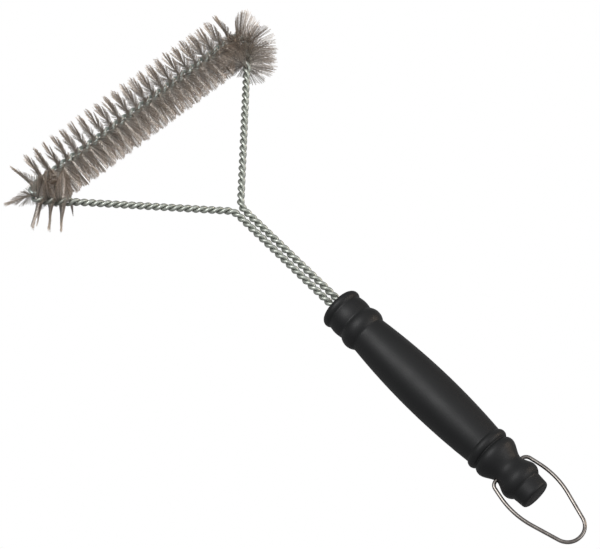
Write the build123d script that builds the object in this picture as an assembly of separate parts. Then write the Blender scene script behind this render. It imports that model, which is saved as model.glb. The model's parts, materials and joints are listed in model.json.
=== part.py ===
from build123d import *
from math import atan2, ceil, cos, degrees, pi, sin, tan, tau
import os

# A grill cleaning brush. Two galvanised wires are twisted together into one closed loop: out of the
# handle, down a stem, round a triangular head and back up a second stem into the handle. Along the
# head and round its two corners the wires clamp a layer of crimped steel filaments, which the twist
# fans out into a spiral. The handle is a hollow plastic moulding with turned beads, closed by a plug,
# and a steel hanging ring swings in a cross hole through its neck.
#
# While the pieces are made, the core line of the wires lies in the XY plane, X runs towards the
# handle and the origin is where the lines of the two legs cross. place() then stands the whole brush
# on its bristles, centred over the origin. Sizes are in millimetres.

# Head and stems, measured along the core line
head_depth = 121.5
head_width = 233.0
stem_length = 108.0
stem_spacing = 6.4
corner_bend = 8.0
fork_bend = 12.0
stem_insertion = 60.0

# Wires
wire_diameter = 2.9
strand_gap = 0.06
leg_pitch = 12.0
samples_per_turn = 8
wire_sides = 6

# Bristles: a tuft is what stands in one half turn of the twist
head_pitch = 17.2
tufts_per_side = 16
bristle_radius = 24.0
layer_thickness = 1.0
layer_clearance = 0.15
tuft_gap = 0.2
mitre_gap = 0.5
bend_relief = 1.5
taper_length = 6.0
sections_per_tuft = 12

# Handle, from its front face to its rear face
rim_width = 7.0
rim_radius = 16.5
rim_top_share = 0.42
rim_face_radius = 13.6
groove_radius = 15.0
collar_width = 12.4
collar_radius = 15.9
front_bead_width = 13.0
front_bead_radius = 17.3
grip_start_radius = 14.8
grip_length = 119.0
grip_radius = 18.5
grip_end_radius = 15.8
rear_bead_width = 7.2
rear_bead_radius = 17.5
shoulder_width = 4.8
shoulder_radius = 17.2
neck_run = 13.2
neck_radius = 12.1
end_bead_run = 10.8
end_bead_radius = 15.5
end_bead_fall = 6.2
tail_radius = 12.4
tail_length = 10.4
tail_end_radius = 11.7
tail_rounding = 2.0
core_bore_radius = 7.5
core_bore_start = 72.0
socket_clearance = 0.15

# End plug
plug_head_radius = 8.8
plug_head_thickness = 2.4
plug_shank_length = 9.0
plug_clearance = 0.04
plug_chamfer = 0.5

# Hanging ring, from its pivot in the neck
ring_wire_diameter = 2.8
ring_hole_clearance = 0.3
ring_neck_half = 16.6
ring_shoulder = 26.0
ring_shoulder_half = 22.3
ring_reach = 69.3
ring_end_half = 9.4
ring_neck_bend = 5.0
ring_side_bend = 60.0
ring_end_bend = 12.0
ring_joint_gap = 0.4

# Worked out from the sizes above
wire_radius = wire_diameter / 2
ring_wire_radius = ring_wire_diameter / 2
stem_offset = stem_spacing / 2
half_width = head_width / 2
fork_x = -stem_offset * head_depth / half_width
base_angle = atan2(head_depth, half_width)
corner_tangent = corner_bend / tan(base_angle / 2)
corner_arc = corner_bend * (pi - base_angle)
bristled = tufts_per_side * head_pitch / 2
bristled_turns = bristled / head_pitch

groove_x = stem_length + rim_width
front_bead_x = groove_x + collar_width
grip_x = front_bead_x + front_bead_width
rear_bead_x = grip_x + grip_length
shoulder_x = rear_bead_x + rear_bead_width
shoulder_top_x = shoulder_x + shoulder_width
neck_x = shoulder_top_x + neck_run
end_bead_x = neck_x + end_bead_run
tail_x = end_bead_x + end_bead_fall
handle_end_x = tail_x + tail_length


def core_line():
    """The centre line of the twisted pair, from one end in the handle to the other."""
    insert_x = stem_length + stem_insertion
    corners = [
        (insert_x, -stem_offset),
        (fork_x, -stem_offset),
        (-head_depth, -half_width),
        (-head_depth, half_width),
        (fork_x, stem_offset),
        (insert_x, stem_offset),
    ]
    return FilletPolyline(*corners, radius=[fork_bend, corner_bend, corner_bend, fork_bend])


core = core_line()
core_half = core.length / 2


def twist(along):
    """Turns of the twist between the middle of the head and a place along the core line."""
    bare = max(0, abs(along) - bristled)
    turns = min(abs(along), bristled) / head_pitch + bare / leg_pitch
    return turns if along > 0 else -turns


def place_of(turns):
    """The place along the core line that is so many turns from the middle of the head."""
    bare = max(0, abs(turns) - bristled_turns)
    along = min(abs(turns), bristled_turns) * head_pitch + bare * leg_pitch
    return along if turns > 0 else -along


def frame_at(along):
    """A point on the core line, and the direction from there that points out of the triangle."""
    length = core_half + along
    point = core.position_at(length, position_mode=PositionMode.LENGTH)
    ahead = core.tangent_at(length, position_mode=PositionMode.LENGTH)
    return point, Vector(-ahead.Y, ahead.X, 0)


def turned(outward, angle):
    """The outward direction turned about the core line. The twist is left handed."""
    return outward * cos(angle) + Vector(0, 0, 1) * sin(angle)


def strand_offset(along):
    """Distance of a wire's centre from the core line: wider where the filaments lie between."""
    clamped = wire_radius + layer_thickness / 2 + layer_clearance
    bare = wire_radius + strand_gap / 2
    share = min(1, max(0, abs(along) - bristled) / taper_length)
    return clamped + (bare - clamped) * share


def flat_face(*points):
    return Face(Wire.make_polygon(points))


def skinned(sections, other_diagonal=()):
    """A closed solid of flat triangles through sections that all have the same corners in order.

    A side whose number is in other_diagonal is split along its other diagonal.
    """
    faces = [flat_face(*reversed(sections[0])), flat_face(*sections[-1])]
    for near, far in zip(sections, sections[1:]):
        for side in range(len(near)):
            a, b, c, d = near[side - 1], near[side], far[side], far[side - 1]
            if side in other_diagonal:
                faces += [flat_face(a, b, c), flat_face(a, c, d)]
            else:
                faces += [flat_face(a, b, d), flat_face(b, c, d)]
    return Solid(Shell(faces))


def core_wire(half_turn):
    """One of the two twisted wires, from one end in the handle round the head to the other."""
    turns = twist(core_half)
    steps = ceil(turns * samples_per_turn)
    centres, radials = [], []
    for step in range(-steps, steps + 1):
        along = place_of(turns * step / steps)
        point, outward = frame_at(along)
        radials.append(turned(outward, half_turn * pi - tau * twist(along)))
        centres.append(point + radials[-1] * strand_offset(along))
    sections = []
    for index, (centre, radial) in enumerate(zip(centres, radials)):
        ahead = centres[min(index + 1, 2 * steps)] - centres[max(index - 1, 0)]
        across = ahead.cross(radial).normalized()
        upward = across.cross(ahead).normalized()
        corners = []
        for side in range(wire_sides):
            angle = tau * side / wire_sides
            corners.append(centre + (upward * cos(angle) + across * sin(angle)) * wire_radius)
        sections.append(corners)
    return skinned(sections)


def mitre_room(along):
    """Space between the core line and the plane where bristles of head and leg meet."""
    along = abs(along)
    arc_start = half_width - corner_tangent
    arc_end = arc_start + corner_arc
    if along < arc_start:
        from_corner = half_width - along
    elif along > arc_end:
        from_corner = corner_tangent + along - arc_end
    else:
        return corner_bend - bend_relief
    return max(corner_bend - bend_relief, from_corner * tan(base_angle / 2) - mitre_gap)


def reach(along, outward_share):
    """Length of the filaments that point in a direction with this share of outward in it."""
    if outward_share >= 0:
        return bristle_radius
    return min(bristle_radius, mitre_room(along) / -outward_share)


def tuft_section(along):
    """The layer of filaments where it crosses the core line: at its tips and beside the line."""
    point, outward = frame_at(along)
    angle = pi / 2 - tau * twist(along)
    lengthwise = turned(outward, angle)
    across = turned(outward, angle + pi / 2) * (layer_thickness / 2)
    near = point + lengthwise * reach(along, cos(angle))
    far = point - lengthwise * reach(along, -cos(angle))
    return near + across, point + across, far + across, far - across, point - across, near - across


def tuft(number):
    """The filaments clamped in one half turn: a twisted slab of as much steel as they hold.

    Every diagonal runs from the core line outwards, which keeps the slab clear of the wires.
    """
    start = place_of(number / 2) + tuft_gap / 2
    end = place_of((number + 1) / 2) - tuft_gap / 2
    step = (end - start) / sections_per_tuft
    sections = [tuft_section(start + index * step) for index in range(sections_per_tuft + 1)]
    return skinned(sections, other_diagonal=[2, 5])


def tuft_names():
    """Names for the tufts, from the left leg round the head to the right leg."""
    arc_start = half_width - corner_tangent
    names, counts = {}, {}
    for number in range(-tufts_per_side, tufts_per_side):
        middle = (number + 0.5) * head_pitch / 2
        side = "left" if middle < 0 else "right"
        kind = "head"
        if abs(middle) > arc_start + corner_arc:
            kind = f"{side}_leg"
        elif abs(middle) > arc_start:
            kind = f"{side}_corner"
        counts[kind] = counts.get(kind, 0) + 1
        names[number] = f"{kind}_tuft_{counts[kind]:02d}"
    return names


def handle_outline():
    """The half outline of the handle, from its axis at the front to its axis at the rear."""
    with BuildLine() as outline:
        Line((stem_length, 0), (stem_length, rim_face_radius))
        rim_top = (stem_length + rim_width * rim_top_share, rim_radius)
        ThreePointArc((stem_length, rim_face_radius), rim_top, (groove_x, groove_radius))
        collar_top = (groove_x + collar_width / 2, collar_radius)
        ThreePointArc((groove_x, groove_radius), collar_top, (front_bead_x, groove_radius))
        bead_top = (front_bead_x + front_bead_width / 2, front_bead_radius)
        ThreePointArc((front_bead_x, groove_radius), bead_top, (grip_x, grip_start_radius))
        grip_top = (grip_x + grip_length / 2, grip_radius)
        ThreePointArc((grip_x, grip_start_radius), grip_top, (rear_bead_x, grip_end_radius))
        bead_top = (rear_bead_x + rear_bead_width / 2, rear_bead_radius)
        ThreePointArc((rear_bead_x, grip_end_radius), bead_top, (shoulder_x, groove_radius))
        shoulder = [(shoulder_x, groove_radius), (shoulder_top_x, shoulder_radius)]
        TangentArc(shoulder[1], shoulder[0], tangent=(-1, 0))
        neck = [(neck_x, neck_radius), (end_bead_x, end_bead_radius)]
        Spline(shoulder[1], neck[0], neck[1], tangents=[(1, 0), (1, 0), (1, 0)])
        TangentArc(neck[1], (tail_x, tail_radius), tangent=(1, 0))
        Polyline((tail_x, tail_radius), (handle_end_x, tail_end_radius), (handle_end_x, 0))
        Line((handle_end_x, 0), (stem_length, 0))
    return outline.line


def rod(radius, start, end, offset=0.0):
    """A round bar along X between two places."""
    axis = Plane(origin=(start, offset, 0), z_dir=(1, 0, 0))
    return extrude(axis * Circle(radius), end - start)


def handle():
    """The handle moulding: sockets for both stems, a long bore, the plug seat and the ring hole."""
    body = revolve(make_face(handle_outline()), Axis.X)
    rear_edge = body.edges().filter_by(GeomType.CIRCLE).sort_by(Axis.X)[-1]
    body = fillet(rear_edge, tail_rounding)
    body -= rod(core_bore_radius, stem_length + core_bore_start, handle_end_x)
    body -= rod(plug_head_radius + plug_clearance, handle_end_x - plug_head_thickness, handle_end_x)
    socket_radius = wire_diameter + strand_gap / 2 + socket_clearance
    for side in (-1, 1):
        socket_end = stem_length + stem_insertion + socket_clearance
        body -= rod(socket_radius, stem_length, socket_end, side * stem_offset)
    across = Plane(origin=(neck_x, -end_bead_radius, 0), z_dir=(0, 1, 0))
    ring_hole = across * Circle(ring_wire_radius + ring_hole_clearance)
    return body - extrude(ring_hole, 2 * end_bead_radius)


def end_plug():
    """The plug that closes the bore, with its head flush with the end of the handle."""
    head_x = handle_end_x - plug_head_thickness
    head = rod(plug_head_radius, head_x + plug_clearance, handle_end_x)
    head = chamfer(head.edges().sort_by(Axis.X)[-1], plug_chamfer)
    shank_start = head_x - plug_shank_length
    return head + rod(core_bore_radius - plug_clearance, shank_start, handle_end_x - plug_chamfer)


def hanging_ring():
    """The ring: one round wire whose ends meet inside the cross hole."""
    side = [
        (0, ring_joint_gap / 2),
        (0, ring_neck_half),
        (ring_shoulder, ring_shoulder_half),
        (ring_reach, ring_end_half),
    ]
    other_side = [(x, -y) for x, y in reversed(side)]
    bends = [ring_neck_bend, ring_side_bend, ring_end_bend]
    path = FilletPolyline(*side, *other_side, radius=bends + bends[::-1])
    section = Plane(origin=path @ 0, z_dir=path % 0) * Circle(ring_wire_radius)
    return Pos(neck_x, 0, 0) * sweep(section, path)


def ring_stop():
    """How far the ring swings before its end lies on the grip, in degrees."""
    rise = grip_radius + ring_wire_radius
    return 180 - degrees(atan2(rise, (ring_reach**2 - rise**2) ** 0.5))


pieces = {"core_wire_a": core_wire(0), "core_wire_b": core_wire(1)}
tufts = {name: tuft(number) for number, name in tuft_names().items()}
pieces.update(tufts)
pieces["handle"] = handle()
pieces["end_plug"] = end_plug()
pieces["hanging_ring"] = hanging_ring()

# Stand the brush on its bristles, with the middle of its box over the origin
tuft_box = Compound(list(tufts.values())).bounding_box()
front_x = tuft_box.min.X
back_x = neck_x + ring_reach + ring_wire_radius
place = Location((-(front_x + back_x) / 2, 0, -tuft_box.min.Z))

os.makedirs("parts", exist_ok=True)
for name, piece in pieces.items():
    export_step(piece.moved(place), f"parts/{name}.step")

print(f"{len(pieces)} pieces, {len(tufts)} of them tufts")
print(f"handle length {handle_end_x - stem_length:.1f}")
print(f"length without the ring {handle_end_x - front_x:.1f}, with it {back_x - front_x:.1f}")
print(f"core line at z {place.position.Z:.3f}, ring pivot at x {place.position.X + neck_x:.3f}")
print(f"legs cross at x {place.position.X:.3f}, the ring stops at {ring_stop():.1f} degrees")
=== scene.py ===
# %% [markdown]
# # A grill cleaning brush
#
# The real brush is made of two stiff galvanised wires, twisted together into one closed loop. The
# loop leaves the handle, runs round a triangular head and comes back into the handle. Crimped steel
# filaments are clamped between the wires along the head, and the twist fans them into a spiral. The
# handle is a turned-looking plastic moulding, and a steel ring to hang it by swings in its neck.
#
# The measured model is loaded first. It fixes every size and place, and the pieces made below stand
# in its frame, in metres. Its box is kept, and the floor is laid just under it.

# %% Load the measured model
import json
from math import atan2, cos, hypot, pi, radians, sin, tan, tau

import bmesh
import bpy
from mathutils import Matrix, Vector


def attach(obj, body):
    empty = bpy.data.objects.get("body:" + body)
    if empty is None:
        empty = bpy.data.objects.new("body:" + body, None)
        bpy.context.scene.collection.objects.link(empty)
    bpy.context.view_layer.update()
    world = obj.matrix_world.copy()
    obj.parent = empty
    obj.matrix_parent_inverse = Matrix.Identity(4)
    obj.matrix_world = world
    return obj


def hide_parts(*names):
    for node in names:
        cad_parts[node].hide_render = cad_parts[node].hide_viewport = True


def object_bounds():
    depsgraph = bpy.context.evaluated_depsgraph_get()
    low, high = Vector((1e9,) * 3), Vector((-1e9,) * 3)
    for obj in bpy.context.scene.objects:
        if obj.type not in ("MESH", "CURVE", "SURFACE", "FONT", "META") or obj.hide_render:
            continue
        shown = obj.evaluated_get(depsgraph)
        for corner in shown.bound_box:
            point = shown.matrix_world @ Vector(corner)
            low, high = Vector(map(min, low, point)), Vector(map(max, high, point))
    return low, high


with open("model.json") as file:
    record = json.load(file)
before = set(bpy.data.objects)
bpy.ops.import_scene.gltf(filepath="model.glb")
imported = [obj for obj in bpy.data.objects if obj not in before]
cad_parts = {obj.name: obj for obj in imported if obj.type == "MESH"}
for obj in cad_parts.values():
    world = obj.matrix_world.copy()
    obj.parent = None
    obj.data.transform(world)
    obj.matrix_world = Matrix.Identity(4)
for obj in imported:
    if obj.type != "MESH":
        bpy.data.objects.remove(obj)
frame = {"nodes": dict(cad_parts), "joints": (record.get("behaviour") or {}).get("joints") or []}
cad_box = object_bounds()
scene = bpy.context.scene
print(len(frame["nodes"]), "parts in the frame, box", [round(side, 4) for side in cad_box[1] - cad_box[0]])

# %% [markdown]
# ## Where things are
#
# The handle's axis runs along X, the loop of wire lies level, and the hanging ring's pivot is known
# from its joint. A maker would measure from the point where the two legs cross, so that point is the
# origin of every size below, in millimetres. `at` turns such a place into a point of the scene.

# %% The maker's origin
MM = 0.001
PIVOT = Vector(frame["joints"][0]["pos_m"])
NECK_X = 284.6
ORIGIN = PIVOT - Vector((NECK_X * MM, 0, 0))


def at(x, y=0.0, z=0.0):
    """A place in millimetres from the crossing of the legs, as a point of the scene."""
    return ORIGIN + Vector((x, y, z)) * MM


print("legs cross at", [round(value, 4) for value in ORIGIN])

# %% [markdown]
# ## Camera
#
# The camera comes first, because every later choice is judged through it. It is a long lens far
# away, which keeps the handle's sides almost parallel. It stands above and to one side of the ring,
# and looks down on the brush, so the loop of wire is seen a little flattened.

# %% Camera
EYE = Vector((0.5437, -0.5301, 1.4459))
AIM = Vector((-0.0350, -0.0031, 0.0240))
camera_data = bpy.data.cameras.new("camera")
camera_data.lens = 132
camera_data.sensor_width = 36
camera_data.clip_end = 20
camera = bpy.data.objects.new("camera", camera_data)
camera.location = EYE
camera.rotation_euler = (AIM - EYE).to_track_quat("-Z", "Y").to_euler()
scene.collection.objects.link(camera)
scene.camera = camera
print("camera", round((AIM - EYE).length, 3), "m away")

# %% [markdown]
# ## Light
#
# Steel needs large soft lights: wire shows what it mirrors, and a small lamp gives it hard white
# dots. One wide light stands to the upper left, as the camera sees it, for the long soft highlight
# on the handle. A weaker one on the right fills the shadows, a small warm one behind it draws a
# faint brown edge on the handle, and a pale sky does the rest. The sky is bright overhead and darker
# towards the horizon, which gives round wire its darker sides. `studio_light` places a light by its
# direction as the camera sees it, which is easier to think about than scene axes.

# %% Studio lights
TOWARD = (EYE - AIM).normalized()
RIGHT = Vector((0, 0, 1)).cross(TOWARD).normalized()
UP = TOWARD.cross(RIGHT)


def studio_light(name, right, up, toward, size, power):
    """A square area light aimed at the brush, so many metres right, up and towards the camera."""
    data = bpy.data.lights.new(name, "AREA")
    data.shape = "SQUARE"
    data.size = size
    data.energy = power
    light = bpy.data.objects.new(name, data)
    light.location = AIM + RIGHT * right + UP * up + TOWARD * toward
    light.rotation_euler = (AIM - light.location).to_track_quat("-Z", "Y").to_euler()
    scene.collection.objects.link(light)
    return light


studio_light("key light", -0.75, 0.75, 1.3, 1.0, 22)
studio_light("fill light", 1.3, 0.1, 0.9, 0.8, 6)
studio_light("warm light", 1.5, 0.6, 0.15, 0.5, 6).data.color = (1.0, 0.8, 0.62)

# %% Sky and colour
HORIZON_GLOW, OVERHEAD_GLOW, OVERHEAD_FROM = 0.16, 0.95, 0.85
world = bpy.data.worlds.new("pale sky")
world.use_nodes = True
scene.world = world
scene.view_settings.view_transform = "Standard"
sky = world.node_tree
sky.nodes.clear()
height = sky.nodes.new("ShaderNodeSeparateXYZ")
sky.links.new(sky.nodes.new("ShaderNodeTexCoord").outputs["Generated"], height.inputs[0])
fade = sky.nodes.new("ShaderNodeMapRange")
for number, value in enumerate((0.0, OVERHEAD_FROM, HORIZON_GLOW, OVERHEAD_GLOW), 1):
    fade.inputs[number].default_value = value
sky.links.new(height.outputs["Z"], fade.inputs["Value"])
glow = sky.nodes.new("ShaderNodeBackground")
glow.inputs["Color"].default_value = (0.97, 0.98, 1.0, 1)
sky.links.new(fade.outputs["Result"], glow.inputs["Strength"])
sky.links.new(glow.outputs[0], sky.nodes.new("ShaderNodeOutputWorld").inputs["Surface"])
print("sky brightens from", HORIZON_GLOW, "to", OVERHEAD_GLOW)

# %% [markdown]
# ## Node trees as sums
#
# Both the shapes and the finishes below come from node trees. Wiring a formula node by node is slow
# to read, so `Graph` adds nodes by their type, and `Link` wraps what a node gives: `+`, `-`, `*` and
# `/` on links add the Math or Vector Math node that does the sum. The same two classes serve the
# shape trees and the finish trees.

# %% Links that do sums
class Link:
    """What a node gives. A sum with links adds the node that works it out."""

    def __init__(self, graph, socket):
        self.graph = graph
        self.socket = socket

    def out(self, name):
        """Another output of the same node."""
        return Link(self.graph, self.socket.node.outputs[name])

    def maths(self, operation, other=0.0):
        return self.graph.add("ShaderNodeMath", {"operation": operation}, {0: self, 1: other})

    def vector(self, operation, other=(0, 0, 0)):
        return self.graph.add("ShaderNodeVectorMath", {"operation": operation}, {0: self, 1: other})

    def is_vector(self):
        return self.socket.type == "VECTOR"

    def _sum(self, operation, first, second):
        vectors = [isinstance(v, Link) and v.is_vector() for v in (first, second)]
        if not any(vectors):
            return self.graph.add("ShaderNodeMath", {"operation": operation}, {0: first, 1: second})
        if operation == "MULTIPLY" and not all(vectors):
            scaled, by = (first, second) if vectors[0] else (second, first)
            return self.graph.add("ShaderNodeVectorMath", {"operation": "SCALE"}, {0: scaled, "Scale": by})
        return self.graph.add("ShaderNodeVectorMath", {"operation": operation}, {0: first, 1: second})

    def __add__(self, other):
        return self._sum("ADD", self, other)

    def __radd__(self, other):
        return self._sum("ADD", other, self)

    def __sub__(self, other):
        return self._sum("SUBTRACT", self, other)

    def __rsub__(self, other):
        return self._sum("SUBTRACT", other, self)

    def __mul__(self, other):
        return self._sum("MULTIPLY", self, other)

    def __rmul__(self, other):
        return self._sum("MULTIPLY", other, self)

    def __truediv__(self, other):
        return self._sum("DIVIDE", self, other)

    def __rtruediv__(self, other):
        return self._sum("DIVIDE", other, self)


# %% One way to add a node
class Graph:
    """A node tree being built."""

    def __init__(self, tree):
        self.tree = tree
        tree.nodes.clear()

    def add(self, kind, settings=None, values=None):
        """Adds a node, makes its settings, then fills its sockets, by name or number."""
        node = self.tree.nodes.new(kind)
        for name, setting in (settings or {}).items():
            setattr(node, name, setting)
        for key, value in (values or {}).items():
            if isinstance(value, Link):
                self.tree.links.new(value.socket, node.inputs[key])
            elif node.inputs[key].type != "GEOMETRY":
                node.inputs[key].default_value = value
        return Link(self, next((s for s in node.outputs if s.enabled), None))


print("operators for", Link.__name__, "and nodes for", Graph.__name__)

# %% [markdown]
# ## A tree that makes a shape
#
# Geometry Nodes suit wire and bristles, because both follow a line by a rule. A tree is a recipe
# with named inputs. `shape_tree` opens one with its inputs, `close_tree` ends it with Realize
# Instances and Set Material, and `grow` runs it on a guide and keeps the result as a plain mesh. A
# modifier's input is found by its socket's identifier, since two inputs may share a name.

# %% Open, close and run a shape tree
KINDS = {int: "NodeSocketInt", float: "NodeSocketFloat", bpy.types.Material: "NodeSocketMaterial"}


def shape_tree(name, **inputs):
    """A Geometry Nodes tree. Returns its graph, the guide's geometry and a link for each input."""
    tree = bpy.data.node_groups.new(name, "GeometryNodeTree")
    tree.interface.new_socket("Guide", in_out="INPUT", socket_type="NodeSocketGeometry")
    tree.interface.new_socket("Shape", in_out="OUTPUT", socket_type="NodeSocketGeometry")
    for label, kind in {**inputs, "finish": bpy.types.Material}.items():
        tree.interface.new_socket(label, in_out="INPUT", socket_type=KINDS[kind])
    graph = Graph(tree)
    start = graph.add("NodeGroupInput")
    return graph, start, {label: start.out(label) for label in [*inputs, "finish"]}


def close_tree(graph, shape, finish):
    """Ends a tree: instances become real faces, and they get their finish."""
    real = graph.add("GeometryNodeRealizeInstances", values={"Geometry": shape})
    finished = graph.add("GeometryNodeSetMaterial", values={"Geometry": real, "Material": finish})
    graph.add("NodeGroupOutput", values={"Shape": finished})
    return graph.tree


def grow(name, tree, guide, **values):
    """Runs a tree on a guide and keeps what it makes as a plain mesh object."""
    modifier = guide.modifiers.new(name, "NODES")
    modifier.node_group = tree
    for item in tree.interface.items_tree:
        if item.in_out == "INPUT" and item.name in values:
            modifier[item.identifier] = values[item.name]
    depsgraph = bpy.context.evaluated_depsgraph_get()
    mesh = bpy.data.meshes.new_from_object(guide.evaluated_get(depsgraph), depsgraph=depsgraph)
    guide.modifiers.remove(modifier)
    mesh.name = name
    piece = bpy.data.objects.new(name, mesh)
    scene.collection.objects.link(piece)
    return piece


print("tree inputs can be", [kind.__name__ for kind in KINDS])

# %% [markdown]
# ## Guides
#
# A bent wire is drawn by its corners and by the radius of the bend at each. The guide is a mesh of
# those corners, with the bend kept on each one as an attribute. Fillet Curve rounds them as a
# bending tool does, with straight runs between. Guides are thrown away once the pieces are made.

# %% Guides and the line they give
def guide_of(name, corners):
    """A guide through (x, y, bend) corners, in millimetres from the crossing of the legs."""
    mesh = bpy.data.meshes.new(name)
    points = [at(x, y) for x, y, bend in corners]
    mesh.from_pydata(points, [(i, i + 1) for i in range(len(points) - 1)], [])
    bends = mesh.attributes.new("bend", "FLOAT", "POINT")
    for index, (x, y, bend) in enumerate(corners):
        bends.data[index].value = bend * MM
    guide = bpy.data.objects.new(name, mesh)
    scene.collection.objects.link(guide)
    return guide


def bent_line(graph, start, spacing):
    """The guide as a curve, with round bends and points at an even spacing."""
    curve = graph.add("GeometryNodeMeshToCurve", values={"Mesh": start})
    bend = graph.add("GeometryNodeInputNamedAttribute", {"data_type": "FLOAT"}, {"Name": "bend"})
    rounded = graph.add(
        "GeometryNodeFilletCurve", {"mode": "POLY"}, {"Curve": curve, "Count": 24, "Radius": bend}
    )
    return graph.add(
        "GeometryNodeResampleCurve", {"mode": "LENGTH"}, {"Curve": rounded, "Length": spacing}
    )


HEAD_DEPTH, HEAD_HALF, STEM_OFFSET = 121.5, 116.5, 3.2
FORK_X = -STEM_OFFSET * HEAD_DEPTH / HEAD_HALF
FORK_BEND, CORNER_BEND = 12, 8
STEM_END = 168.0
RING_REACH, RING_SHOULDER = 69.3, 26.0
core_guide = guide_of("core line", [
    (STEM_END, -STEM_OFFSET, 0),
    (FORK_X, -STEM_OFFSET, FORK_BEND),
    (-HEAD_DEPTH, -HEAD_HALF, CORNER_BEND),
    (-HEAD_DEPTH, HEAD_HALF, CORNER_BEND),
    (FORK_X, STEM_OFFSET, FORK_BEND),
    (STEM_END, STEM_OFFSET, 0),
])
ring_guide = guide_of("ring line", [
    (NECK_X, 0.2, 0),
    (NECK_X, 16.6, 5),
    (NECK_X + RING_SHOULDER, 22.3, 60),
    (NECK_X + RING_REACH, 9.4, 12),
    (NECK_X + RING_REACH, -9.4, 12),
    (NECK_X + RING_SHOULDER, -22.3, 60),
    (NECK_X, -16.6, 5),
    (NECK_X, -0.2, 0),
])
print("guides", core_guide.name, "and", ring_guide.name)

# %% [markdown]
# ## Finishes
#
# A finish is a tree too, and it reads Object coordinates, so its grain is in the piece's own
# millimetres. `finish_of` opens a material with a Principled shader, and `grain` gives a noise
# pattern whose features are a given size. `between` mixes two colours, because sums would turn a
# colour grey.

# %% Helpers for finishes
def finish_of(name, colour, roughness, bump=None, metallic=0.0, **others):
    """Closes a finish: colour and roughness feed the shader, and a pattern may raise its surface."""
    graph = colour.graph
    values = {"Base Color": colour, "Roughness": roughness, "Metallic": metallic}
    if bump:
        height, distance, strength = bump
        raised = {"Height": height, "Distance": distance, "Strength": strength}
        values["Normal"] = graph.add("ShaderNodeBump", values=raised)
    values.update({key.replace("_", " "): value for key, value in others.items()})
    shader = graph.add("ShaderNodeBsdfPrincipled", values=values)
    graph.add("ShaderNodeOutputMaterial", values={"Surface": shader})
    return bpy.data.materials[name]


def new_finish(name):
    """A material with an empty tree. Returns its graph and its place on the piece."""
    material = bpy.data.materials.new(name)
    material.use_nodes = True
    graph = Graph(material.node_tree)
    return graph, graph.add("ShaderNodeTexCoord").out("Object")


def grain(graph, place, size_mm, detail=2.0, roughness=0.5):
    """A noise pattern from 0 to 1 with features of about this size."""
    values = {"Vector": place, "Scale": 1 / (size_mm * MM), "Detail": detail, "Roughness": roughness}
    return graph.add("ShaderNodeTexNoise", values=values)


def spread(value, low, high, to_low, to_high):
    """Stretches the range low to high to another range, and clamps it."""
    values = {"Value": value, 1: low, 2: high, 3: to_low, 4: to_high}
    return value.graph.add("ShaderNodeMapRange", values=values)


def between(graph, share, first, second):
    """A mix of two colours."""
    values = {0: share, 6: first, 7: second}
    mixed = graph.add("ShaderNodeMix", {"data_type": "RGBA"}, values)
    return Link(graph, mixed.socket.node.outputs[2])


print("helpers for finishes are ready")

# %% [markdown]
# ## Zinc on the core wires
#
# Galvanised wire is a soft light grey with a faint green cast. The coat is a little uneven: dull and
# bright patches a few millimetres long, and a fine roughness left by the dipping. The deeper hollows
# between the strands darken by themselves in the render, so the finish only has to be uneven. Along
# the head the tufts shade the wires, and there a painted light makes the zinc brighter and cooler.

# %% Zinc coat
HEAD_X = at(-HEAD_DEPTH).x


def zinc_coat():
    graph, place = new_finish("zinc coat")
    patches = grain(graph, place, 3.5, 3, 0.6)
    speckle = grain(graph, place, 0.35, 2)
    share = spread(patches, 0.35, 0.68, 0, 1)
    colour = between(graph, share, (0.29, 0.305, 0.272, 1), (0.40, 0.42, 0.38, 1))
    along_x = graph.add("ShaderNodeSeparateXYZ", values={0: place})
    # Painted light: along the head, where the tufts shade the wires, the zinc colour is made brighter and
    # cooler.
    head_painted_light = spread(along_x, HEAD_X + 6 * MM, HEAD_X + 12 * MM, 0.85, 0)
    bright = between(graph, head_painted_light, colour, (0.66, 0.76, 0.73, 1))
    dulled = between(graph, spread(speckle, 0.55, 0.8, 0, 0.5), bright, (0.19, 0.20, 0.175, 1))
    roughness = spread(patches + speckle * 0.4, 0.45, 0.95, 0.48, 0.34)
    return finish_of("zinc coat", dulled, roughness, (speckle, 0.06 * MM, 0.35), 0.8)


zinc = zinc_coat()
print("made", zinc.name)

# %% [markdown]
# ## Stainless filaments
#
# Each filament is bright, but a tuft looks brownish grey, because most of what a filament mirrors is
# its neighbours. Filaments differ slightly, so each carries a random number that the finish reads as
# an attribute. The tips are scorched a little browner than the roots.

# %% Filament steel
def filament_steel():
    graph, place = new_finish("filament steel")
    tint = graph.add("ShaderNodeAttribute", {"attribute_name": "tint"}).out("Fac")
    along = graph.add("ShaderNodeAttribute", {"attribute_name": "reach"}).out("Fac")
    smudge = grain(graph, place, 6, 2)
    steel = between(graph, tint, (0.32, 0.285, 0.255, 1), (0.9, 0.84, 0.78, 1))
    warm = between(graph, spread(along + smudge * 0.4, 0.5, 1.25, 0, 0.6), steel, (0.58, 0.46, 0.36, 1))
    roughness = spread(tint * 0.5 + smudge, 0.3, 1.1, 0.22, 0.42)
    return finish_of("filament steel", warm, roughness, None, 0.85)


filament = filament_steel()
print("made", filament.name)

# %% [markdown]
# ## Ring wire
#
# The ring is drawn stainless wire, dulled to a brownish grey. Drawing leaves fine lines along the
# wire, which blur its reflections, and handling leaves dull spots. The surface is smoother than the
# zinc coat.

# %% Drawn steel
def drawn_steel():
    graph, place = new_finish("drawn steel")
    lines = grain(graph, place, 0.5, 4, 0.7)
    spots = grain(graph, place, 7, 2)
    colour = between(graph, spread(spots, 0.3, 0.7, 0, 1), (0.15, 0.135, 0.125, 1), (0.25, 0.23, 0.21, 1))
    roughness = spread(spots + lines * 0.3, 0.4, 0.95, 0.2, 0.36)
    return finish_of("drawn steel", colour, roughness, (lines, 0.03 * MM, 0.25), 1.0)


drawn = drawn_steel()
print("made", drawn.name)

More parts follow.
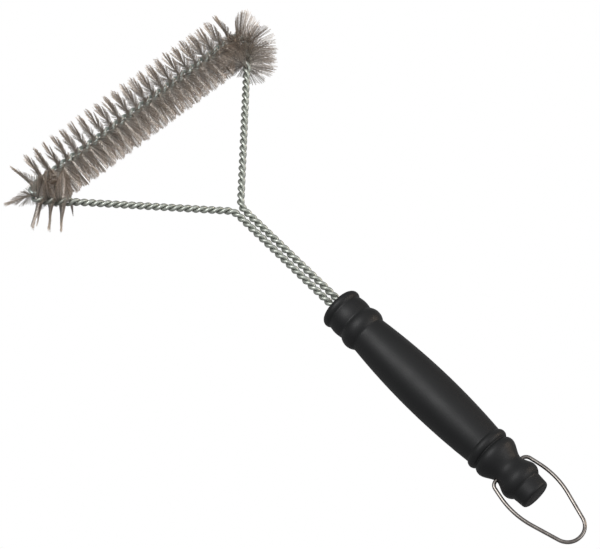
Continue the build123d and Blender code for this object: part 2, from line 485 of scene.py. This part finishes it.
# %% [markdown]
# ## Satin black plastic
#
# The handle is moulded in charcoal black with a satin skin. The mould's fine grain spreads the
# highlight, slow changes in gloss break it up, and handling leaves faint paler scuffs. The base is
# not quite black, which keeps its roundness readable in the shadows.

# %% Satin plastic
def satin_plastic(name, shade):
    graph, place = new_finish(name)
    skin = grain(graph, place, 0.45, 3, 0.6)
    cloud = grain(graph, place, 22, 3, 0.55)
    lengthwise = graph.add("ShaderNodeMapping", values={"Vector": place, "Scale": (0.12, 1, 1)})
    scuff = spread(grain(graph, lengthwise, 1.6, 4, 0.65), 0.62, 0.82, 0, 1)
    dark = tuple(shade * tone for tone in (0.94, 0.97, 1.0)) + (1,)
    worn = tuple(shade * 2.1 * tone for tone in (1.0, 0.98, 0.96)) + (1,)
    colour = between(graph, scuff * spread(cloud, 0.4, 0.7, 0.1, 0.7), dark, worn)
    roughness = spread(cloud + scuff * 0.3 + skin * 0.15, 0.4, 1.0, 0.43, 0.57)
    return finish_of(name, colour, roughness, (skin, 0.07 * MM, 0.4), Specular_IOR_Level=0.22)


plastic = satin_plastic("satin plastic", 0.0085)
# Painted shade: the plug gets the same plastic made darker, so its end face, which catches the fill and warm
# lights, looks as dark as the handle.
shaded_plug_plastic = satin_plastic("plug plastic with painted shade", 0.005)
print("made", plastic.name, "and", shaded_plug_plastic.name)

# %% [markdown]
# ## Core wires
#
# Two wires share one centre line. Each keeps the same distance from it and turns round it, half a
# turn behind the other, and the twist is left handed. The pitch is longer where the bristles are
# clamped, since the layer between the wires holds them apart. The tree moves every point of the line
# outwards by that distance, at the angle the twist gives there, and sweeps a circle along.

# %% Twist as a tree
HEAD_PITCH, LEG_PITCH, BRISTLED = 17.2 * MM, 12.0 * MM, 137.6 * MM
WIRE_RADIUS = 1.45 * MM
CLAMPED_APART, BARE_APART, CLOSING_RUN = 2.1 * MM, 1.48 * MM, 6.0 * MM


def outward_of(graph, tangent):
    """The level direction that points out of the triangle."""
    upright = graph.add("ShaderNodeCombineXYZ", values={2: 1.0})
    return upright.vector("CROSS_PRODUCT", tangent).vector("NORMALIZE")


def turned(graph, outward, angle):
    """The outward direction turned about the line."""
    rise = graph.add("ShaderNodeCombineXYZ", values={2: angle.maths("SINE")})
    return outward * angle.maths("COSINE") + rise


def twisted_wire():
    graph, start, sizes = shape_tree(
        "twisted wire", radius=float, clamped=float, bare=float, half_turn=float, spacing=float
    )
    line = bent_line(graph, start, sizes["spacing"])
    length = graph.add("GeometryNodeCurveLength", values={"Curve": line})
    place = graph.add("GeometryNodeSplineParameter").out("Length") - length / 2
    far = place.maths("ABSOLUTE")
    past = (far - BRISTLED).maths("MAXIMUM", 0.0)
    turns = (far.maths("MINIMUM", BRISTLED) / HEAD_PITCH + past / LEG_PITCH) * place.maths("SIGN")
    angle = sizes["half_turn"] * pi - turns * tau
    apart = sizes["clamped"] + (sizes["bare"] - sizes["clamped"]) * (past / CLOSING_RUN).maths("MINIMUM", 1.0)
    outward = outward_of(graph, graph.add("GeometryNodeInputTangent"))
    moved = graph.add("GeometryNodeSetPosition", values={
        "Geometry": line, "Offset": turned(graph, outward, angle) * apart,
    })
    circle = graph.add("GeometryNodeCurvePrimitiveCircle", values={
        "Resolution": 12, "Radius": sizes["radius"],
    })
    tube = graph.add("GeometryNodeCurveToMesh", values={
        "Curve": moved, "Profile Curve": circle, "Fill Caps": True,
    })
    smooth = graph.add("GeometryNodeSetShadeSmooth", values={"Geometry": tube})
    return close_tree(graph, smooth, sizes["finish"])


wire_tree = twisted_wire()
print("twisted wire tree has", len(wire_tree.nodes), "nodes")

# %% Two core wires
def triangles(piece):
    piece.data.calc_loop_triangles()
    return len(piece.data.loop_triangles)


for name, half_turn in (("core_wire_a", 0.0), ("core_wire_b", 1.0)):
    wire = grow(
        name + "_twisted", wire_tree, core_guide, radius=WIRE_RADIUS, clamped=CLAMPED_APART,
        bare=BARE_APART, half_turn=half_turn, spacing=0.5 * MM, finish=zinc,
    )
    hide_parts(name)
    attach(wire, "brush")
    print(wire.name, triangles(wire), "triangles")

# %% [markdown]
# ## Bristles
#
# A tuft is what stands in one half turn of the twist. Each filament is a crimped wire clamped at its
# middle, so every place on the line gives one half to each side. The angle follows the twist, and a
# little chance is added to it, to the lean along the line and to the length, because loose filaments
# never lie alike. Neighbours cling together, so part of that chance is shared by a clump. Lengths
# and leans differ most on the outer side of the head, and the inner side is almost level. One
# filament of sixteen straight pieces is made and then instanced: its crimp is a zigzag, which shows
# as fine stripes where a fan is dense. Every draw of chance has a number of its own, and the seeds
# of two tufts are kept further apart than there are draws, so no two draws are alike.

# %% Bristles as a tree
CRIMPS = 16
DRAWS_APART = 16.0
FILAMENT_ROOT = 1.4 * MM


def chance(graph, low, high, seed, salt, group=None):
    """A random number for each filament, or the same one for every filament of a group."""
    each = group or graph.add("GeometryNodeInputIndex")
    values = {2: low, 3: high, "ID": each, "Seed": seed * DRAWS_APART + salt}
    node = graph.add("FunctionNodeRandomValue", {"data_type": "FLOAT"}, values)
    return Link(graph, node.socket.node.outputs[1])


def crimped_filament(graph, radius, length, crimp):
    """One filament from the origin along Z, with the share of its length kept as an attribute."""
    straight = graph.add("GeometryNodeCurvePrimitiveLine", {"mode": "DIRECTION"}, {
        "Start": (0, 0, 0), "Direction": (0, 0, 1), "Length": length,
    })
    divided = graph.add(
        "GeometryNodeResampleCurve", {"mode": "COUNT"}, {"Curve": straight, "Count": CRIMPS + 1}
    )
    index = graph.add("GeometryNodeInputIndex")
    side = (index.maths("MODULO", 2.0) * 2.0 - 1.0) * (index / 3.0).maths("MINIMUM", 1.0)
    zigzag = graph.add("ShaderNodeCombineXYZ", values={0: side * crimp})
    crimped = graph.add("GeometryNodeSetPosition", values={"Geometry": divided, "Offset": zigzag})
    marked = graph.add("GeometryNodeStoreNamedAttribute", {"data_type": "FLOAT", "domain": "POINT"}, {
        "Geometry": crimped, "Name": "reach", "Value": index / CRIMPS,
    })
    circle = graph.add("GeometryNodeCurvePrimitiveCircle", values={"Resolution": 3, "Radius": radius})
    return graph.add("GeometryNodeCurveToMesh", values={
        "Curve": marked, "Profile Curve": circle, "Fill Caps": True,
    })


def bristle_tuft():
    graph, start, sizes = shape_tree(
        "bristle tuft", first_turn=float, last_turn=float, filaments=int, radius=float, length=float,
        ragged=float, fan=float, lean=float, layer=float, crimp=float, clumps=float, seed=float,
    )

    def draw(number, low, high, group=None):
        return chance(graph, low, high, sizes["seed"], float(number), group)

    line = bent_line(graph, start, 0.8 * MM)
    half = graph.add("GeometryNodeCurveLength", values={"Curve": line}) / 2
    index = graph.add("GeometryNodeInputIndex")
    side = index.maths("MODULO", 2.0)
    order = (index / 2.0).maths("FLOOR")
    share = (order + draw(1, 0.0, 1.0)) / sizes["filaments"]
    turns = sizes["first_turn"] + (sizes["last_turn"] - sizes["first_turn"]) * share
    on_line = graph.add("GeometryNodeSampleCurve", {"mode": "LENGTH"}, {
        "Curves": line, "Length": half + turns * HEAD_PITCH,
    })
    tangent = on_line.out("Tangent")
    outward = outward_of(graph, tangent)
    clump = (share * sizes["clumps"] + side * sizes["clumps"]).maths("FLOOR")
    swing = draw(2, -0.5, 0.5) + draw(3, -1.2, 1.2, clump)
    straight = pi / 2 - turns * tau + side * pi
    angle = straight + swing * sizes["fan"]
    lean = draw(4, -0.3, 0.3) + draw(5, -1.2, 1.2, clump)
    unworn = angle.maths("COSINE") * 0.35 + 0.65
    leaning = tangent * (lean * sizes["lean"] * unworn)
    direction = (turned(graph, outward, angle) + leaning).vector("NORMALIZE")
    across = turned(graph, outward, angle + pi / 2)
    stacked = across * (draw(6, -0.5, 0.5) * sizes["layer"])
    root = on_line.out("Position") + turned(graph, outward, straight) * FILAMENT_ROOT + stacked
    points = graph.add("GeometryNodePoints", values={"Count": sizes["filaments"] * 2.0, "Position": root})
    tinted = graph.add("GeometryNodeStoreNamedAttribute", {"data_type": "FLOAT", "domain": "POINT"}, {
        "Geometry": points, "Name": "tint", "Value": draw(7, 0.0, 1.0),
    })
    sideways = across + tangent * draw(8, 0.2, 2.0)
    facing = graph.add("FunctionNodeAxesToRotation", {"primary_axis": "Z", "secondary_axis": "X"}, {
        "Primary Axis": direction, "Secondary Axis": sideways,
    })
    stretch = 1.0 - draw(9, 0.0, 1.0) * sizes["ragged"] * unworn
    bristle = crimped_filament(graph, sizes["radius"], sizes["length"], sizes["crimp"])
    placed = graph.add("GeometryNodeInstanceOnPoints", values={
        "Points": tinted, "Instance": bristle, "Rotation": facing,
        "Scale": graph.add("ShaderNodeCombineXYZ", values={0: 1.0, 1: 1.0, 2: stretch}),
    })
    smooth = graph.add("GeometryNodeSetShadeSmooth", values={"Geometry": placed})
    return close_tree(graph, smooth, sizes["finish"])


tuft_tree = bristle_tuft()
print("bristle tree has", len(tuft_tree.nodes), "nodes")

# %% [markdown]
# ## One piece per tuft
#
# There are 32 tufts, sixteen each side of the middle of the head: 22 on the head, three round each
# corner and two on each leg. They are named from the left leg round to the right leg, as the
# measured model names them, and each has its own seed.

# %% Names round the head
TUFTS_EACH_SIDE = 16
base_angle = atan2(HEAD_DEPTH, HEAD_HALF)
corner_tangent = CORNER_BEND / tan(base_angle / 2)
arc_start = HEAD_HALF - corner_tangent
arc_end = arc_start + CORNER_BEND * (pi - base_angle)


def tuft_names():
    """Half turn number and name of every tuft."""
    counts = {}
    for number in range(-TUFTS_EACH_SIDE, TUFTS_EACH_SIDE):
        middle = (number + 0.5) * HEAD_PITCH / MM / 2
        side = "left" if middle < 0 else "right"
        kind = "head"
        if abs(middle) > arc_end:
            kind = side + "_leg"
        elif abs(middle) > arc_start:
            kind = side + "_corner"
        counts[kind] = counts.get(kind, 0) + 1
        yield number, f"{kind}_tuft_{counts[kind]:02d}"


print("corner bends run from", round(arc_start, 1), "to", round(arc_end, 1), "mm")

# %% Grow the tufts
total = 0
for number, name in tuft_names():
    tuft = grow(
        name + "_filaments", tuft_tree, core_guide, first_turn=number / 2, last_turn=(number + 1) / 2,
        filaments=120, radius=0.16 * MM, length=22.8 * MM, ragged=0.2, fan=0.042, lean=0.05,
        layer=0.5 * MM, crimp=0.26 * MM, clumps=15.0, seed=float(number + 40), finish=filament,
    )
    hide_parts(name)
    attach(tuft, "brush")
    total += triangles(tuft)
print("tufts", total, "triangles")

# %% [markdown]
# ## Hanging ring
#
# The ring is one wire bent into an egg shape, with its two ends let into the cross hole of the neck.
# Its tree is the simplest use of a guide: round the corners, then sweep a circle.

# %% Ring
RING_WIRE_RADIUS = 1.4 * MM


def bent_wire():
    graph, start, sizes = shape_tree("bent wire", radius=float, spacing=float)
    line = bent_line(graph, start, sizes["spacing"])
    circle = graph.add("GeometryNodeCurvePrimitiveCircle", values={
        "Resolution": 20, "Radius": sizes["radius"],
    })
    tube = graph.add("GeometryNodeCurveToMesh", values={
        "Curve": line, "Profile Curve": circle, "Fill Caps": True,
    })
    smooth = graph.add("GeometryNodeSetShadeSmooth", values={"Geometry": tube})
    return close_tree(graph, smooth, sizes["finish"])


ring = grow("ring_wire", bent_wire(), ring_guide, radius=RING_WIRE_RADIUS, spacing=1.0 * MM, finish=drawn)
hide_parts("hanging_ring")
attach(ring, "ring")
for guide in (core_guide, ring_guide):
    bpy.data.objects.remove(guide)
print(ring.name, triangles(ring), "triangles")

# %% [markdown]
# ## Handle
#
# The handle is round all along, so it is a lathe job: one outline, turned about X. The outline is a
# row of arcs, as a turner would cut them: rim bead, groove, collar, large bead, long swelling grip,
# thin bead, shoulder, neck, end bead and tail. A moulding has no knife edges, so the sampled outline
# is softened a little before it is turned.

# %% Arcs of an outline
def arc(first, middle, last, pieces=40):
    """Points of the circular arc through three points, without the first."""
    (ax, ay), (bx, by), (cx, cy) = first, middle, last
    d = 2 * (ax * (by - cy) + bx * (cy - ay) + cx * (ay - by))
    a2, b2, c2 = ax * ax + ay * ay, bx * bx + by * by, cx * cx + cy * cy
    ux = (a2 * (by - cy) + b2 * (cy - ay) + c2 * (ay - by)) / d
    uy = (a2 * (cx - bx) + b2 * (ax - cx) + c2 * (bx - ax)) / d
    radius = hypot(ax - ux, ay - uy)
    start, end = atan2(ay - uy, ax - ux), atan2(cy - uy, cx - ux)
    mid = atan2(by - uy, bx - ux)
    sweep = (end - start) % tau
    if (mid - start) % tau > sweep:
        sweep -= tau
    turns = [start + sweep * i / pieces for i in range(1, pieces + 1)]
    return [(ux + radius * cos(t), uy + radius * sin(t)) for t in turns]


def leaving_along_x(first, last, pieces=24):
    """Points of the arc that leaves first along X and ends at last, without the first."""
    run, drop = last[0] - first[0], first[1] - last[1]
    radius = (run * run + drop * drop) / (2 * drop)
    half = atan2(drop, abs(run))
    middle = (first[0] + radius * sin(half) * (1 if run > 0 else -1), first[1] - radius * (1 - cos(half)))
    return arc(first, middle, last, pieces)


def ease(first, last, pieces=30):
    """Points of a smooth run between two points that is level at both ends, without the first."""
    steps = [i / pieces for i in range(1, pieces + 1)]
    (x0, y0), (x1, y1) = first, last
    return [(x0 + (x1 - x0) * s, y0 + (y1 - y0) * s * s * (3 - 2 * s)) for s in steps]


print("a test arc ends at", arc((0, 0), (1, 1), (2, 0), 4)[-1])

# %% Outline of the handle
FRONT, END = 108.0, 312.0
BORE_START, BORE_RADIUS = 180.0, 7.5
PLUG_SEAT_DEPTH, PLUG_SEAT_RADIUS = 2.4, 8.84
outline = [(FRONT, 13.6)]
outline += arc((FRONT, 13.6), (110.94, 16.5), (115.0, 15.0))
outline += arc((115.0, 15.0), (121.2, 15.9), (127.4, 15.0))
outline += arc((127.4, 15.0), (133.9, 17.3), (140.4, 14.8))
outline += arc((140.4, 14.8), (199.9, 18.5), (259.4, 15.8), 120)
outline += arc((259.4, 15.8), (263.0, 17.5), (266.6, 15.0))
outline += leaving_along_x((271.4, 17.2), (266.6, 15.0))[:-1][::-1] + [(271.4, 17.2)]
outline += ease((271.4, 17.2), (284.6, 12.1)) + ease((284.6, 12.1), (295.4, 15.5))
outline += leaving_along_x((295.4, 15.5), (301.6, 12.4))
outline += [(301.6 + 8.6 * i / 12, 12.4 - 0.6 * i / 12) for i in range(1, 13)]
outline += arc((310.2, 11.8), (311.4, 11.2), (END, 9.8), 10)
print("outline of", len(outline), "points from", outline[0], "to", outline[-1])


# %% Soften, then turn
def softened(points, step=0.25, reach=3):
    """The outline at an even step, with its creases rounded by averaging neighbours."""
    even = [points[0]]
    for first, last in zip(points, points[1:]):
        run = hypot(last[0] - first[0], last[1] - first[1])
        count = max(1, round(run / step))
        even += [
            (first[0] + (last[0] - first[0]) * i / count, first[1] + (last[1] - first[1]) * i / count)
            for i in range(1, count + 1)
        ]
    result = []
    for index in range(len(even)):
        width = min(reach, index, len(even) - 1 - index)
        near = even[index - width:index + width + 1]
        result.append((sum(p[0] for p in near) / len(near), sum(p[1] for p in near) / len(near)))
    return result


def lathed(name, profile, sides):
    """A closed solid of revolution about X, from a profile that starts and ends on the axis."""
    shape = bmesh.new()
    rows = []
    for x, radius in profile:
        if radius < 1e-6:
            rows.append([shape.verts.new(at(x))])
            continue
        angles = [tau * i / sides for i in range(sides)]
        rows.append([shape.verts.new(at(x, radius * cos(t), radius * sin(t))) for t in angles])
    for near, far in zip(rows, rows[1:]):
        for i in range(sides):
            j = (i + 1) % sides
            corners = [near[i % len(near)], near[j % len(near)], far[j % len(far)], far[i % len(far)]]
            shape.faces.new(list(dict.fromkeys(corners)))
    bmesh.ops.recalc_face_normals(shape, faces=shape.faces)
    for face in shape.faces:
        face.smooth = True
    mesh = bpy.data.meshes.new(name)
    shape.to_mesh(mesh)
    shape.free()
    piece = bpy.data.objects.new(name, mesh)
    scene.collection.objects.link(piece)
    return piece


smooth_outline = softened(outline)
SEAT_X = END - PLUG_SEAT_DEPTH
rear = [(END, PLUG_SEAT_RADIUS), (SEAT_X, PLUG_SEAT_RADIUS), (SEAT_X, BORE_RADIUS)]
rear += [(BORE_START, BORE_RADIUS), (BORE_START, 0)]
handle = lathed("handle_moulding", [(FRONT, 0), (FRONT, 8.0)] + smooth_outline + rear, 96)
print(handle.name, triangles(handle), "triangles")


# %% [markdown]
# ## Holes in the handle
#
# The stems are pressed into two sockets that run into each other, and the ring turns in a cross hole
# through the neck. A Boolean modifier cuts each with a round bar. The modifier is applied straight
# away, and the bar is thrown away. Marking edges sharper than 35 degrees as sharp keeps the rims
# crisp while the turned surface stays smooth.

# %% Cut the holes
SOCKET_RADIUS, RING_HOLE_RADIUS = 3.08 * MM, 1.7 * MM


def cut_hole(piece, start, end, radius, sides=32):
    """Cuts a round hole between two points."""
    run = end - start
    bar_mesh = bpy.data.meshes.new("bar")
    shape = bmesh.new()
    bmesh.ops.create_cone(
        shape, cap_ends=True, segments=sides, radius1=radius, radius2=radius, depth=run.length,
        matrix=Matrix.Translation((start + end) / 2) @ run.to_track_quat("Z", "Y").to_matrix().to_4x4(),
    )
    shape.to_mesh(bar_mesh)
    shape.free()
    bar = bpy.data.objects.new("bar", bar_mesh)
    scene.collection.objects.link(bar)
    cutter = piece.modifiers.new("hole", "BOOLEAN")
    cutter.operation, cutter.solver, cutter.object = "DIFFERENCE", "EXACT", bar
    depsgraph = bpy.context.evaluated_depsgraph_get()
    cut = bpy.data.meshes.new_from_object(piece.evaluated_get(depsgraph), depsgraph=depsgraph)
    piece.modifiers.remove(cutter)
    piece.data = cut
    bpy.data.objects.remove(bar)


for side in (-STEM_OFFSET, STEM_OFFSET):
    cut_hole(handle, at(FRONT - 1, side), at(STEM_END + 0.2, side), SOCKET_RADIUS)
cut_hole(handle, at(NECK_X, -20), at(NECK_X, 20), RING_HOLE_RADIUS)
handle.data.materials.clear()
handle.data.materials.append(plastic)
handle.data.set_sharp_from_angle(angle=radians(35))
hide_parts("handle")
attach(handle, "brush")
print(handle.name, triangles(handle), "triangles after cutting")

# %% [markdown]
# ## End plug
#
# A round plug closes the bore, flush with the end of the tail. It is turned like the handle, with a
# small chamfer that leaves a thin dark line round it.

# %% Plug
plug_profile = [(END - 11.4, 0), (END - 11.4, 7.0), (END - 10.9, 7.46), (END - 2.36, 7.46)]
plug_profile += [(END - 2.36, 8.8), (END - 0.5, 8.8), (END - 0.15, 8.65), (END, 8.3), (END, 0)]
plug = lathed("end_plug_disc", plug_profile, 64)
# Its finish is the handle's plastic with painted shade, darker to offset the light on its end face.
plug.data.materials.append(shaded_plug_plastic)
plug.data.set_sharp_from_angle(angle=radians(50))
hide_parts("end_plug")
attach(plug, "brush")
print(plug.name, triangles(plug), "triangles")

# %% [markdown]
# ## Floor
#
# The floor is a plain sheet just under the tips of the bristles. It is staging and no part of the
# brush. The camera sees it as a light table, evenly white and without shadows. Everything else sees
# it as mid grey card, because a white floor would fill the undersides of the wires and they would
# vanish against it.

# %% Floor
graph, place = new_finish("pale floor")
cloud = grain(graph, place, 180, 2)
to_camera = graph.add("ShaderNodeLightPath").out("Is Camera Ray")
card = between(graph, cloud, (0.24, 0.24, 0.24, 1), (0.28, 0.28, 0.28, 1))
tone = between(graph, to_camera, card, (0, 0, 0, 1))
lit = between(graph, to_camera, (0, 0, 0, 1), (1, 1, 1, 1))
pale = finish_of(
    "pale floor", tone, spread(cloud, 0, 1, 0.7, 0.8), Emission_Color=lit, Emission_Strength=1.0,
    Specular_IOR_Level=0.0,
)
floor_mesh = bpy.data.meshes.new("floor")
level = cad_box[0].z - 0.0005
floor_mesh.from_pydata([(-4, -4, level), (4, -4, level), (4, 4, level), (-4, 4, level)], [], [(0, 1, 2, 3)])
floor_mesh.materials.append(pale)
floor = bpy.data.objects.new("floor", floor_mesh)
scene.collection.objects.link(floor)
print("floor at z", round(level, 4))
